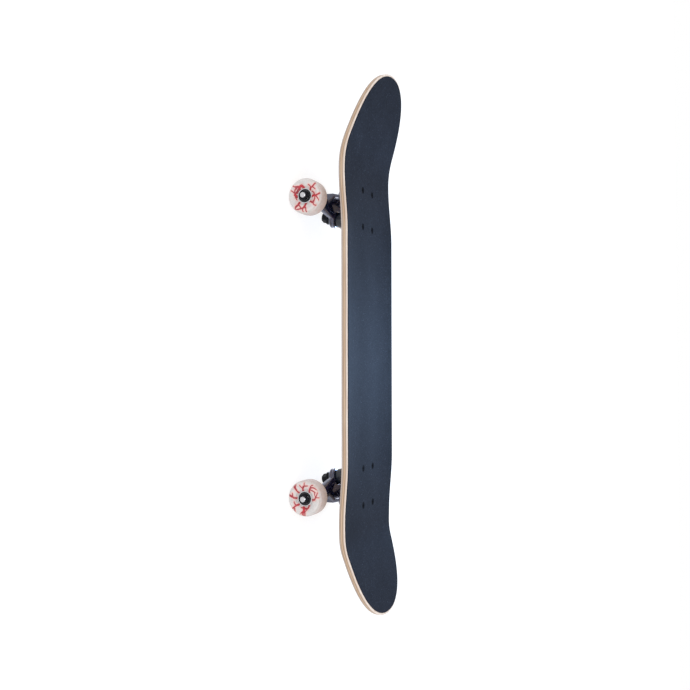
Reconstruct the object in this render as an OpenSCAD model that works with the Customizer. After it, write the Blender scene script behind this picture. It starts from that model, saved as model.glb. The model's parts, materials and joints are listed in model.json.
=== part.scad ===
// Street skateboard: a laminated deck on two steering trucks with four wheels.
// X runs towards the nose, Y to the left edge and Z up.  The origin is on the
// ground, under the middle of the deck's length and width.

/* [Deck] */
// Middle of the wheelbase to the nose tip
nose_len = 401.5; // [390:0.5:415]
// Middle of the wheelbase to the tail tip
tail_len = 390; // [380:0.5:405]
// Width across the middle
deck_w = 197; // [190:0.5:205]
// Number of veneers in the laminate
ply_count = 7; // [7:1:9]
// Thickness of one veneer
ply_t = 1.46; // [1.2:0.01:1.5]
// Width of the flat along the middle, between the raised rails
flat_w = 56; // [54:1:70]
// How far the concave lifts the rails between the trucks
rail_lift = 6.1; // [3:0.1:8]
// How much of that lift is left at the kicks
end_lift = 1.3; // [0.5:0.1:3]
// Middle of the wheelbase to the start of the nose's bend
nose_bend = 255; // [252:1:264]
// Radius of the nose's bend
nose_r = 135; // [90:1:150]
// Slope of the nose
nose_angle = 19.3; // [15:0.1:23]
// Middle of the wheelbase to the start of the tail's bend
tail_bend = 267; // [254:1:268]
// Radius of the tail's bend
tail_r = 92; // [80:1:130]
// Slope of the tail
tail_angle = 16.6; // [14:0.1:22]
// Thickness of the grip tape
grip_t = 0.9; // [0.6:0.1:1.2]

/* [Trucks] */
// Distance between the two inner rows of mounting bolts
wheelbase = 355.6; // [342:0.1:362]
// Bolt spacing along the board
bolt_dx = 53.98; // [53.9:0.01:54.1]
// Bolt spacing across the board
bolt_dy = 41.28; // [41.2:0.01:41.4]
// Underside of the deck to the centre of the axle
truck_h = 50.3; // [49:0.1:52]
// Distance of the axle outside the middle of the bolt pattern
axle_out = 10.2; // [10:0.1:11]
// Slope of the axis that the hanger tilts about
pivot_angle = 25; // [23:1:27]
// Lean of the kingpin from the vertical
kingpin_angle = 12; // [11:0.5:13]
// Width of the hanger
hanger_w = 139; // [133:0.5:141]
// Diameter of the axle
axle_d = 7.94; // [7.9:0.01:8]
// Diameter of the kingpin
kingpin_d = 9.5; // [9.4:0.05:9.6]

/* [Wheels] */
// Diameter of a wheel
wheel_d = 51; // [50:0.5:53]
// Width of a wheel
wheel_w = 31; // [29:0.5:32]
// Width of the riding surface
tread_w = 19.6; // [17:0.1:20]
// Outer diameter of a bearing
bearing_d = 22; // [22:1:22]
// Width of a bearing
bearing_w = 7; // [7:1:7]
// Length of the spacer between the two bearings of a wheel
spacer_l = 10; // [10:1:10]

/* [Hidden] */
$fn = 64;
deck_t = ply_count * ply_t;
mid_x = (tail_len - nose_len) / 2;
axle_z = wheel_d / 2;
under_z = axle_z + truck_h;
top_z = under_z + deck_t;
pattern_x = (wheelbase + bolt_dx) / 2;

// outline of the deck's two ends: |x|^power + |y|^(1/round) = 1 past the shoulder
shoulder = 90;
nose_power = 5.8;
tail_power = 6.3;
end_round = 0.47;
// the concave fades out between these distances from the middle
fade_from = 165;
fade_to = 252;

// mounting hardware
bolt_r = 2.38;
bolt_l = 25.4;
bolt_head_r = 4.8;
bolt_head_h = 2.6;
bolt_rise = 0.5;
bolt_hole_r = 2.6;
bolt_nut_af = 9.5;
bolt_nut_h = 5.3;

// truck, with its own origin on the deck's underside in the middle of the bolt
// pattern and X outwards; heights along the kingpin are counted from the ring
ring_pos = [-9.7, 0, -41.3];
ring_r = 13.8;
ring_h = 8.4;
ring_bore_r = 7.2;
seat_depth = 2;
seat_r = 10.6;
board_bushing_h = 14.3;
board_bushing_r = 11.4;
road_bushing_h = 7.5;
road_bushing_r = 10;
washer_t = 1.6;
board_washer_r = 12.6;
road_washer_r = 9.8;
kingpin_nut_af = 14.3;
kingpin_nut_h = 7;
kingpin_head_h = 6;
kingpin_head_at = 32;
plate_t = 5.5;
plate_l = 81;
plate_w = 57;
plate_x = 1.5;
boss_r = 13.2;
housing_r = 10.2;
housing_at = 35;
housing_end = 49;
cup_r = 7.4;
cup_wall = 2.2;
nose_r1 = 5.1;
nose_at = 33;
nose_end = 46.5;
neck_r = 8;
neck_at = 12;
barrel_r = 9.8;
barrel_end_r = 8.2;

// wheel and bearings, along the axle from the middle of the wheel
hub_w = spacer_l + 2 * bearing_w;
bearing_at = (spacer_l + bearing_w) / 2;
speed_ring_t = 1;
hub_y = hanger_w / 2 + speed_ring_t + hub_w / 2;
ball_r = 1.985;
ball_pitch_r = 7.5;
ball_count = 7;
groove_r = 2.03;
race_in_r = 5.9;
race_out_r = 9.1;
shield_r = 9.62;
axle_nut_af = 12.7;
axle_nut_h = 5.4;
nut_collar_h = 1.4;
axle_end = hub_y + hub_w / 2 + speed_ring_t + axle_nut_h + nut_collar_h + 1.2;
gap = 0.03;

ENDS = ["front", "rear"];
SIDES = ["left", "right"];
DECK_NODES = ["deck", "grip_tape"];
TRUCK_NODES = [
    "mount_bolts", "mount_nuts", "baseplate", "pivot_cup", "kingpin", "kingpin_nut",
    "road_washer", "road_bushing", "board_washer", "board_bushing", "hanger", "axle",
    "axle_nuts", "speed_rings", "bearing_spacers", "bearing_inner_rings"
];
WHEEL_NODES = ["wheel", "bearing_outer_rings", "bearing_shields", "bearing_balls", "bearing_cages"];

// ---- shapes that repeat ----

// eases from 0 to 1 as t goes from 0 to 1
function ease(t) = let (u = max(0, min(1, t))) u * u * (3 - 2 * u);

// points of an arc
function arc(cx, cy, r, from, to, steps = 6) =
    [for (i = [0 : steps]) let (a = from + (to - from) * i / steps) [cx + r * cos(a), cy + r * sin(a)]];

// a turned disc from z = 0 to h, with rounded rims
module puck(r, h, c)
    rotate_extrude()
        polygon(concat([[0, 0]], arc(r - c, c, c, -90, 0), arc(r - c, h - c, c, 0, 90), [[0, h]]));

// a tube from z = 0 to h
module tube(r_out, r_in, h)
    difference() {
        cylinder(r = r_out, h = h);
        translate([0, 0, -1]) cylinder(r = r_in, h = h + 2);
    }

// a hexagonal prism, af across its flats
module hex(af, h) cylinder(r = af / sqrt(3), h = h, $fn = 6);

// a lock nut: chamfered hexagon with a round collar, bored for its bolt
module lock_nut(af, h, collar_h, bore_r)
    difference() {
        union() {
            intersection() {
                hex(af, h);
                puck(af / sqrt(3) + 0.1, h, 0.7);
            }
            translate([0, 0, h - 0.5]) puck(af * 0.44, collar_h + 0.5, 0.4);
        }
        translate([0, 0, -1]) cylinder(r = bore_r, h = h + collar_h + 2);
    }

module both_sides() for (s = [1, -1]) translate([0, s * hub_y, 0]) children();
module both_bearings() for (s = [1, -1]) translate([0, 0, s * bearing_at]) children();
module along_y() rotate([-90, 0, 0]) children();

// the four places of a truck's mounting bolts
module at_bolts()
    for (sx = [1, -1], sy = [1, -1]) translate([sx * bolt_dx / 2, sy * bolt_dy / 2, 0]) children();

// from a truck's own place to the board's
module at_truck(end)
    translate([mid_x + (end == "front" ? 1 : -1) * pattern_x, 0, under_z])
        rotate([0, 0, end == "front" ? 0 : 180]) children();

// inside a truck: along the kingpin, along the pivot axis, and at the axle
module at_kingpin(up = 0) translate(ring_pos) rotate([0, -kingpin_angle, 0]) translate([0, 0, up]) children();
module at_pivot(out = 0) translate(ring_pos) rotate([0, 90 - pivot_angle, 0]) translate([0, 0, out]) children();
module at_axle() translate([axle_out, 0, -truck_h]) children();

// a wheel's middle, with Z along the axle
module at_wheel(end, side)
    translate([
        mid_x + (end == "front" ? 1 : -1) * (pattern_x + axle_out),
        (side == "left" ? 1 : -1) * hub_y,
        axle_z
    ]) along_y() children();

// ---- deck ----

function kick(d, bend, r, a) =
    d < bend ? 0 :
    d < bend + r * sin(a) ? r - sqrt(r * r - (d - bend) * (d - bend)) :
    r * (1 - cos(a)) + (d - bend - r * sin(a)) * tan(a);
function spine_z(x) =
    x > 0 ? kick(x, nose_bend, nose_r, nose_angle) : kick(-x, tail_bend, tail_r, tail_angle);
function lift(x) = rail_lift - (rail_lift - end_lift) * ease((abs(x) - fade_from) / (fade_to - fade_from));
function deck_z(x, y) =
    spine_z(x) + lift(x) * pow(max(0, abs(y) - flat_w / 2) / ((deck_w - flat_w) / 2), 2);

// places along the board: [x, half width] at each
function end_steps() = [for (part = [[1.5 : 1.5 : 9], [12 : 3 : 87], [88.6]], a = part) a];
function end_place(a, len, power, dir) = [
    dir * (shoulder + (len - shoulder) * pow(sin(a), 2 / power)),
    deck_w / 2 * pow(cos(a), 2 * end_round)
];
function places() = let (steps = end_steps(), n = len(steps)) concat(
    [for (i = [n - 1 : -1 : 0]) end_place(steps[i], tail_len, tail_power, -1)],
    [for (x = [-shoulder, 0, shoulder]) [x, deck_w / 2]],
    [for (a = steps) end_place(a, nose_len, nose_power, 1)]
);

// distances across the board, from rail to rail, for a half width w
ACROSS = [0.2, 0.4, 0.6, 0.8, 1];
function half_row(w) =
    let (flat = min(flat_w / 2, 0.4 * w)) concat([flat], [for (f = ACROSS) flat + (w - flat) * f]);
function row(w) = let (h = half_row(w), n = len(h))
    concat([for (i = [n - 1 : -1 : 0]) -h[i]], [0], h);

// a layer of the deck between two heights above the wood's top face
module layer(low, high) {
    stations = places();
    m = len(stations);
    n = len(row(1));
    points = [
        for (s = stations, z = [high, low], y = row(s[1]))
            [s[0], y, deck_z(s[0], y) + z]
    ];
    function at(i, k, j) = (2 * i + k) * n + j;
    function quad(a, b, c, d) = [[a, b, c], [a, c, d]];
    faces = [
        for (i = [0 : m - 2], j = [0 : n - 2]) each concat(
            quad(at(i, 0, j), at(i, 0, j + 1), at(i + 1, 0, j + 1), at(i + 1, 0, j)),
            quad(at(i, 1, j), at(i + 1, 1, j), at(i + 1, 1, j + 1), at(i, 1, j + 1))
        ),
        for (i = [0 : m - 2]) each concat(
            quad(at(i + 1, 0, n - 1), at(i, 0, n - 1), at(i, 1, n - 1), at(i + 1, 1, n - 1)),
            quad(at(i, 0, 0), at(i + 1, 0, 0), at(i + 1, 1, 0), at(i, 1, 0))
        ),
        for (j = [0 : n - 2]) each concat(
            quad(at(0, 0, j + 1), at(0, 0, j), at(0, 1, j), at(0, 1, j + 1)),
            quad(at(m - 1, 0, j), at(m - 1, 0, j + 1), at(m - 1, 1, j + 1), at(m - 1, 1, j))
        )
    ];
    translate([mid_x, 0, top_z]) polyhedron(points, faces, convexity = 4);
}

// the eight places of the mounting bolts, on the wood's top face
module at_all_bolts()
    for (end = ENDS) at_truck(end) translate([0, 0, deck_t]) at_bolts() children();

module deck() {
    color("burlywood")
        difference() {
            layer(-deck_t, 0);
            at_all_bolts() {
                translate([0, 0, -deck_t - 1]) cylinder(r = bolt_hole_r, h = deck_t + 2);
                translate([0, 0, -bolt_head_h])
                    cylinder(r1 = bolt_hole_r, r2 = bolt_head_r + gap, h = bolt_head_h);
            }
        }
}

module grip_tape() {
    color("#2b2f38")
        difference() {
            layer(0, grip_t);
            at_all_bolts() translate([0, 0, -1]) cylinder(r = bolt_head_r + 0.15, h = grip_t + 2);
        }
}

// ---- mounting hardware, four of each at a truck ----

module mount_bolts() {
    drive_w = 1.2;
    drive_l = 5;
    drive_depth = 1.8;
    color("#1c1d20")
        at_bolts() translate([0, 0, deck_t])
            difference() {
                union() {
                    translate([0, 0, -bolt_l + bolt_rise]) cylinder(r = bolt_r, h = bolt_l - bolt_rise);
                    translate([0, 0, -bolt_head_h]) cylinder(r1 = bolt_r, r2 = bolt_head_r, h = bolt_head_h);
                    cylinder(r = bolt_head_r, h = bolt_rise);
                }
                for (turn = [0, 90])
                    rotate([0, 0, turn])
                        translate([-drive_l / 2, -drive_w / 2, bolt_rise - drive_depth])
                            cube([drive_l, drive_w, drive_depth + 1]);
            }
}

module mount_nuts() {
    color("#232428")
        at_bolts() translate([0, 0, -plate_t]) mirror([0, 0, 1])
            lock_nut(bolt_nut_af, bolt_nut_h, 1, bolt_r + gap);
}

// ---- truck ----

board_washer_at = ring_h / 2 - seat_depth + board_bushing_h;
road_washer_at = -(ring_h / 2 - seat_depth + road_bushing_h);

module baseplate() {
    boss_at = board_washer_at + washer_t;
    corner_r = 9;
    rib_w = 16;
    color("#1b1c22")
        difference() {
            intersection() {
                union() {
                    translate([plate_x, 0, -plate_t]) {
                        for (sx = [1, -1], sy = [1, -1])
                            translate([sx * (plate_l / 2 - corner_r), sy * (plate_w / 2 - corner_r), 0])
                                cylinder(r = corner_r, h = plate_t);
                        translate([-plate_l / 2, corner_r - plate_w / 2, 0])
                            cube([plate_l, plate_w - 2 * corner_r, plate_t]);
                        translate([corner_r - plate_l / 2, -plate_w / 2, 0])
                            cube([plate_l - 2 * corner_r, plate_w, plate_t]);
                    }
                    at_kingpin(boss_at) cylinder(r = boss_r, h = 30);
                    at_pivot(housing_at) cylinder(r = housing_r, h = housing_end - housing_at);
                    translate([0, rib_w / 2, 0]) rotate([90, 0, 0]) linear_extrude(rib_w)
                        polygon([[-6, 0], [42, 0], [41, -14], [37, -20], [23, -20], [14, -12], [0, -16]]);
                }
                translate([plate_x - plate_l / 2, -plate_w / 2, -60]) cube([plate_l, plate_w, 60]);
            }
            at_bolts() translate([0, 0, -plate_t - 1]) cylinder(r = bolt_hole_r, h = plate_t + 2);
            at_kingpin(boss_at - 1) cylinder(r = kingpin_d / 2 + gap, h = 40);
            at_kingpin(kingpin_head_at) hex(kingpin_nut_af + 0.3, 30);
            at_pivot(housing_at - 8) cylinder(r = cup_r + gap, h = nose_end + cup_wall - housing_at + 8);
        }
}

module pivot_cup() {
    depth = nose_end + cup_wall - housing_at;
    color("#26262a")
        difference() {
            at_pivot(housing_at) cylinder(r = cup_r, h = depth);
            at_pivot(housing_at - 1) cylinder(r = nose_r1 + 0.1, h = depth - cup_wall + 1.1);
        }
}

module kingpin() {
    end_at = road_washer_at - washer_t - kingpin_nut_h - nut_collar_h - 0.6;
    color("#26272b") {
        at_kingpin(end_at) cylinder(r = kingpin_d / 2, h = kingpin_head_at - end_at + 0.5);
        at_kingpin(kingpin_head_at)
            intersection() {
                hex(kingpin_nut_af, kingpin_head_h);
                puck(kingpin_nut_af / sqrt(3) + 0.1, kingpin_head_h, 0.8);
            }
    }
}

module kingpin_nut() {
    color("#1a1b1e")
        at_kingpin(road_washer_at - washer_t) mirror([0, 0, 1])
            lock_nut(kingpin_nut_af, kingpin_nut_h, nut_collar_h, kingpin_d / 2 + gap);
}

// a cup washer: the rim stands up around the end of the bushing
module cup_washer(r, bushing_r)
    difference() {
        puck(r, washer_t + 1, 0.5);
        translate([0, 0, washer_t]) cylinder(r = bushing_r, h = 2);
        translate([0, 0, -1]) cylinder(r = kingpin_d / 2 + 0.1, h = washer_t + 2);
    }

module road_washer() {
    color("#2a2b30") at_kingpin(road_washer_at - washer_t) cup_washer(road_washer_r, road_washer_r - 1);
}

module board_washer() {
    color("#2a2b30")
        at_kingpin(board_washer_at + washer_t) mirror([0, 0, 1]) cup_washer(board_washer_r, board_washer_r - 1);
}

module road_bushing() {
    color("#17181b")
        at_kingpin(road_washer_at)
            difference() {
                rotate_extrude()
                    polygon([
                        [0, 0], [8, 0], [8.5, 0.5], [road_bushing_r, 5.4],
                        [road_bushing_r, road_bushing_h], [0, road_bushing_h]
                    ]);
                translate([0, 0, -1]) cylinder(r = kingpin_d / 2 + 0.15, h = road_bushing_h + 2);
            }
}

module board_bushing() {
    color("#17181b")
        at_kingpin(ring_h / 2 - seat_depth)
            difference() {
                rotate_extrude()
                    polygon([
                        [0, 0], [10.2, 0], [10.2, 3.2], [board_bushing_r, 6.4],
                        [board_bushing_r, board_bushing_h - 0.8],
                        [board_bushing_r - 0.8, board_bushing_h], [0, board_bushing_h]
                    ]);
                translate([0, 0, -1]) cylinder(r = kingpin_d / 2 + 0.15, h = board_bushing_h + 2);
            }
}

module hanger() {
    wing_y = 38;
    wing_l = 8;
    nut_room = 10.6;
    back_pos = [21, 0, -36];
    skirt_pos = [20.3, 0, -46];
    lug_pos = [19.5, 18, -29];
    back_r = 4;
    color("#1d1c24")
        difference() {
            union() {
                // barrel around the axle, slimmer at its ends
                at_axle() along_y() rotate_extrude()
                    polygon([
                        [0, -hanger_w / 2], [barrel_end_r - 0.8, -hanger_w / 2],
                        [barrel_end_r, -hanger_w / 2 + 0.8], [barrel_r, -wing_y],
                        [barrel_r, wing_y], [barrel_end_r, hanger_w / 2 - 0.8],
                        [barrel_end_r - 0.8, hanger_w / 2], [0, hanger_w / 2]
                    ]);
                // ring around the kingpin
                at_kingpin(-ring_h / 2) puck(ring_r, ring_h, 2.6);
                // body between the ring, the barrel and the neck
                hull() {
                    at_kingpin(-ring_h / 2 + 1) cylinder(r = 9, h = ring_h - 2, $fn = 32);
                    at_axle() along_y() translate([0, 0, -16]) cylinder(r = 9.2, h = 32, $fn = 32);
                    at_pivot(neck_at + 3) cylinder(r = 8.4, h = 4, $fn = 32);
                }
                // wings from the ring out to the barrel
                for (s = [1, -1])
                    hull() {
                        at_kingpin(-3) translate([1, s * 9, 0]) cylinder(r = 4.2, h = 6, $fn = 32);
                        at_axle() along_y() translate([0, 0, s * wing_y - wing_l / 2])
                            cylinder(r = 8.6, h = wing_l, $fn = 32);
                        at_axle() along_y() translate([0, 0, s * 14]) cylinder(r = 9, h = 2, $fn = 32);
                    }
                // broad back of the body, below the neck
                hull() {
                    at_axle() along_y() cylinder(r = 8.8, h = 60, center = true, $fn = 32);
                    translate(skirt_pos) along_y() cylinder(r = back_r, h = 54, center = true, $fn = 32);
                    translate(back_pos) along_y() cylinder(r = back_r, h = 48, center = true, $fn = 32);
                }
                // lugs of the back, beside the pivot housing
                for (s = [1, -1])
                    hull() {
                        translate([back_pos.x, s * (lug_pos.y + 1), back_pos.z])
                            along_y() cylinder(r = back_r, h = 10, center = true, $fn = 32);
                        translate([lug_pos.x, s * lug_pos.y, lug_pos.z])
                            along_y() cylinder(r = back_r, h = 8, center = true, $fn = 32);
                    }
                // neck and nose that turn in the pivot cup
                at_pivot(neck_at) cylinder(r1 = neck_r, r2 = nose_r1, h = nose_at - neck_at);
                at_pivot(nose_at - 0.5) puck(nose_r1, nose_end - nose_at, 2.5);
            }
            at_kingpin(-30) cylinder(r = ring_bore_r, h = 60);
            for (s = [0, 1])
                at_kingpin() mirror([0, 0, s]) translate([0, 0, ring_h / 2 - seat_depth])
                    cylinder(r = seat_r, h = 3);
            // room for the bushing above the ring, and for the kingpin nut below it
            at_kingpin(ring_h / 2) cylinder(r = 14.4, h = 20);
            at_kingpin(-ring_h / 2 - 30) translate([-30, -17, 0]) cube([30 + nut_room, 34, 30]);
            at_axle() along_y() cylinder(r = axle_d / 2 + gap, h = hanger_w + 2, center = true);
        }
}

module axle() {
    color("silver")
        at_axle() along_y() translate([0, 0, -axle_end])
            union() {
                cylinder(r1 = axle_d / 2 - 0.6, r2 = axle_d / 2, h = 0.6);
                translate([0, 0, 0.6]) cylinder(r = axle_d / 2, h = 2 * axle_end - 1.2);
                translate([0, 0, 2 * axle_end - 0.6]) cylinder(r1 = axle_d / 2, r2 = axle_d / 2 - 0.6, h = 0.6);
            }
}

// ---- what is on the axle: one on each side of the wheel's hub ----

module axle_nuts() {
    color("#1b1c1f")
        at_axle() for (s = [0, 1]) mirror([0, s, 0]) along_y()
            translate([0, 0, hub_y + hub_w / 2 + speed_ring_t])
                lock_nut(axle_nut_af, axle_nut_h, nut_collar_h, axle_d / 2 + gap);
}

module speed_rings() {
    color("silver")
        at_axle() both_sides() along_y()
            for (s = [-hub_w / 2 - speed_ring_t, hub_w / 2])
                translate([0, 0, s]) tube(race_in_r - 0.1, axle_d / 2 + 0.1, speed_ring_t);
}

module bearing_spacers() {
    color("silver")
        at_axle() both_sides() along_y()
            translate([0, 0, -spacer_l / 2]) tube(race_in_r - 0.8, axle_d / 2 + 0.1, spacer_l);
}

module bearing_inner_rings() {
    color("silver")
        at_axle() both_sides() along_y() both_bearings()
            rotate_extrude()
                difference() {
                    translate([axle_d / 2 + gap, -bearing_w / 2])
                        square([race_in_r - axle_d / 2 - gap, bearing_w]);
                    translate([ball_pitch_r, 0]) circle(r = groove_r);
                }
}

// ---- wheel ----

module wheel() {
    bore_r = 8.6;
    hub_r = 12.6;
    side_r = 21;
    lip = wheel_w / 2 - tread_w / 2;
    outer = [
        [bearing_d / 2, hub_w / 2 + 0.3], [hub_r, hub_w / 2 + 0.5], [hub_r + 1.4, wheel_w / 2 - 1.6],
        [side_r - 2.6, wheel_w / 2 - 0.6], [side_r, wheel_w / 2],
        [side_r + 1.8, wheel_w / 2 - 0.5], [wheel_d / 2 - 1.4, tread_w / 2 + lip * 0.42],
        [wheel_d / 2 - 0.3, tread_w / 2 + 0.9], [wheel_d / 2, tread_w / 2 - 0.6]
    ];
    n = len(outer);
    color("#e4dcda")
        rotate_extrude()
            polygon(concat(
                [[bore_r, -spacer_l / 2], [bore_r, spacer_l / 2], [bearing_d / 2, spacer_l / 2]],
                outer,
                [for (i = [n - 1 : -1 : 0]) [outer[i][0], -outer[i][1]]],
                [[bearing_d / 2, -spacer_l / 2]]
            ));
}

module bearing_outer_rings() {
    seat_h = 0.55;
    color("silver")
        both_bearings()
            rotate_extrude()
                difference() {
                    translate([race_out_r, -bearing_w / 2])
                        square([bearing_d / 2 - 0.02 - race_out_r, bearing_w]);
                    translate([ball_pitch_r, 0]) circle(r = groove_r);
                    // seats of the shields
                    for (s = [-bearing_w / 2 - seat_h, bearing_w / 2 - seat_h])
                        translate([race_out_r - 1, s]) square([shield_r + 0.02 - race_out_r + 1, 2 * seat_h]);
                }
}

module bearing_shields() {
    shield_t = 0.4;
    color("#141518")
        both_bearings() for (s = [-bearing_w / 2 + 0.1, bearing_w / 2 - shield_t - 0.1])
            translate([0, 0, s]) tube(shield_r, race_in_r + 0.3, shield_t);
}

module ball_places()
    for (i = [0 : ball_count - 1])
        rotate([0, 0, 360 * i / ball_count]) translate([ball_pitch_r, 0, 0]) children();

module bearing_balls() {
    color("lightsteelblue") both_bearings() ball_places() sphere(r = ball_r);
}

module bearing_cages() {
    cage_h = 5.2;
    color("goldenrod")
        both_bearings()
            difference() {
                translate([0, 0, -cage_h / 2]) tube(ball_pitch_r + 0.6, ball_pitch_r - 0.6, cage_h);
                ball_places() rotate([0, 90, 0]) cylinder(r = ball_r + 0.06, h = 4, center = true);
            }
}

// ---- the nodes ----

deck();
grip_tape();
for (e = ENDS) at_truck(e) {
    mount_bolts();
    mount_nuts();
    baseplate();
    pivot_cup();
    kingpin();
    kingpin_nut();
    road_washer();
    road_bushing();
    board_washer();
    board_bushing();
    hanger();
    axle();
    axle_nuts();
    speed_rings();
    bearing_spacers();
    bearing_inner_rings();
}
for (e = ENDS, s = SIDES) at_wheel(e, s) {
    wheel();
    bearing_outer_rings();
    bearing_shields();
    bearing_balls();
    bearing_cages();
}
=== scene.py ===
import json
import math

import bmesh
import bpy
import numpy as np
from mathutils import Matrix, Vector


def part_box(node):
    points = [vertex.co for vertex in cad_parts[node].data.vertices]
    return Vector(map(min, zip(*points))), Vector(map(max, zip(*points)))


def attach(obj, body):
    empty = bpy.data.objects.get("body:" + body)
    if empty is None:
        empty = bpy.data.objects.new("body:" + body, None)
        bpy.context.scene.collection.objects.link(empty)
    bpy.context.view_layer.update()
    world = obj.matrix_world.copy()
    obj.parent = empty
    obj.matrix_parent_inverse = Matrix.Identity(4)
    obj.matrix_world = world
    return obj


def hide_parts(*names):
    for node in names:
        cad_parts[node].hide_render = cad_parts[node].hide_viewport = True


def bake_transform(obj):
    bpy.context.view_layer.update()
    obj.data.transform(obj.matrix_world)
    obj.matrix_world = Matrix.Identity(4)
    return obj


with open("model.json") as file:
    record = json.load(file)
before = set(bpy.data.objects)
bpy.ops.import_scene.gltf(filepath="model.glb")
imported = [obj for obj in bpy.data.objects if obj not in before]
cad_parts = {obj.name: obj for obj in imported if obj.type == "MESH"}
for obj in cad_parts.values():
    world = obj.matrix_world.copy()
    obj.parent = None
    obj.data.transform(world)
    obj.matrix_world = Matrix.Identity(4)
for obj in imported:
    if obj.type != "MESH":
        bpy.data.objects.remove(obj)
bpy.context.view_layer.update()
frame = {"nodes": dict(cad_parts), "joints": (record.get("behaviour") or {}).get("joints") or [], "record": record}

mm = 0.001
ends = ("front", "rear")
sides = ("left", "right")
mounts = {m["name"]: m for m in frame["record"]["mounts"]}
joints = {j["name"]: j for j in frame["joints"]}
midX, _, standZ = mounts["standing_surface"]["pos_m"]    # middle of the wheelbase, top of the grip
deckLow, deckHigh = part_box("deck")
underZ = deckLow.z
print("frame loaded:", len(frame["nodes"]), "nodes")


# meshes

def newObject(name, verts, faces):
    mesh = bpy.data.meshes.new(name)
    mesh.from_pydata(np.asarray(verts, float).reshape(-1, 3).tolist(), [], np.asarray(faces).tolist())
    mesh.update()
    obj = bpy.data.objects.new(name, mesh)
    bpy.context.scene.collection.objects.link(obj)
    return obj


def gridFaces(rows, cols, wrapRows=False, wrapCols=False):
    # quads between neighbouring rows and columns of a grid, closed on itself where it wraps
    index = np.arange(rows * cols).reshape(rows, cols)
    if wrapRows:
        index = np.vstack([index, index[:1]])
    if wrapCols:
        index = np.hstack([index, index[:, :1]])
    quads = [index[:-1, :-1], index[1:, :-1], index[1:, 1:], index[:-1, 1:]]
    return np.stack(quads, -1).reshape(-1, 4)


def gridObject(name, points, wrapRows=False, wrapCols=False, **values):
    # points is rows x columns x 3; each extra value is an attribute with one number a point
    rows, cols = points.shape[:2]
    obj = newObject(name, points, gridFaces(rows, cols, wrapRows, wrapCols))
    for key, numbers in values.items():
        obj.data.attributes.new(key, "FLOAT", "POINT").data.foreach_set("value", np.ravel(numbers))
    return obj


def closeUp(obj, gap=1e-6):
    # joins points that lie together, at poles and seams, and turns every face outwards
    work = bmesh.new()
    work.from_mesh(obj.data)
    bmesh.ops.remove_doubles(work, verts=work.verts, dist=gap)
    bmesh.ops.dissolve_degenerate(work, edges=work.edges, dist=gap)
    bmesh.ops.recalc_face_normals(work, faces=work.faces)
    work.to_mesh(obj.data)
    work.free()
    return obj


def smoothShade(obj, sharpFrom=35):
    mesh = obj.data
    mesh.polygons.foreach_set("use_smooth", np.ones(len(mesh.polygons), bool))
    mesh.set_sharp_from_angle(angle=math.radians(sharpFrom))
    return obj


def joined(name, parts):
    # one object from several, each already in place
    work = bmesh.new()
    for part in parts:
        work.from_mesh(part.data)
        bpy.data.objects.remove(part)
    obj = newObject(name, np.zeros((0, 3)), np.zeros((0, 3), int))
    work.to_mesh(obj.data)
    work.free()
    return obj


def bakeModifiers(obj):
    # makes the modified shape the object's own mesh
    graph = bpy.context.evaluated_depsgraph_get()
    made = bpy.data.meshes.new_from_object(obj.evaluated_get(graph))
    obj.modifiers.clear()
    obj.data = made
    return obj


def cutAway(obj, tool):
    cut = obj.modifiers.new("cut", "BOOLEAN")
    cut.operation = "DIFFERENCE"
    cut.solver = "EXACT"
    cut.object = tool
    bakeModifiers(obj)
    bpy.data.objects.remove(tool)
    return obj


def castTogether(obj, grain, passes):
    # melts overlapping shapes into one skin with soft fillets, as a casting has
    skin = obj.modifiers.new("skin", "REMESH")
    skin.mode = "VOXEL"
    skin.voxel_size = grain
    soften = obj.modifiers.new("soften", "SMOOTH")
    soften.factor = 0.5
    soften.iterations = passes
    return bakeModifiers(obj)


def put(points, matrix):
    # moves points from a local place into the board's frame
    m = np.array(matrix)
    return points @ m[:3, :3].T + m[:3, 3]


def turned(name, profile, matrix, steps=96, closed=False):
    # a profile of (radius, height) carried round the local Z axis
    profile = np.array(profile, float)
    turn = np.linspace(0, 2 * np.pi, steps, endpoint=False)
    r, h = profile[:, 0][:, None], profile[:, 1][:, None]
    grid = np.stack([r * np.cos(turn), r * np.sin(turn), h + 0 * turn], -1)
    obj = gridObject(name, put(grid, matrix), wrapRows=closed, wrapCols=True)
    return closeUp(obj)


def arc(centreR, centreH, radius, fromDeg, toDeg, count=7):
    # points of an arc in a profile
    a = np.radians(np.linspace(fromDeg, toDeg, count))
    return list(zip(centreR + radius * np.cos(a), centreH + radius * np.sin(a)))


# materials

def colour(code):
    # sRGB hex to linear
    parts = [int(code[i:i + 2], 16) / 255 for i in (1, 3, 5)]
    return tuple(c / 12.92 if c <= 0.04045 else ((c + 0.055) / 1.055) ** 2.4 for c in parts) + (1.0,)


def addNode(tree, kind, inputs=None, **settings):
    # a node, with its settings, and each input given as a value or as the socket that feeds it
    node = tree.nodes.new(kind)
    for key, value in settings.items():
        setattr(node, key, value)
    for key, value in (inputs or {}).items():
        if isinstance(value, bpy.types.NodeSocket):
            tree.links.new(value, node.inputs[key])
        else:
            node.inputs[key].default_value = value
    return node


def newMaterial(name, **surface):
    mat = bpy.data.materials.new(name)
    mat.use_nodes = True
    tree = mat.node_tree
    shader = tree.nodes["Principled BSDF"]
    for key, value in surface.items():
        shader.inputs[key.replace("_", " ")].default_value = value
    return mat, tree, shader


def objectPoint(tree):
    return addNode(tree, "ShaderNodeTexCoord").outputs["Object"]


def addNoise(tree, point, scale, detail, **more):
    inputs = {"Vector": point, "Scale": scale, "Detail": detail, **more}
    return addNode(tree, "ShaderNodeTexNoise", inputs).outputs["Fac"]


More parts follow.
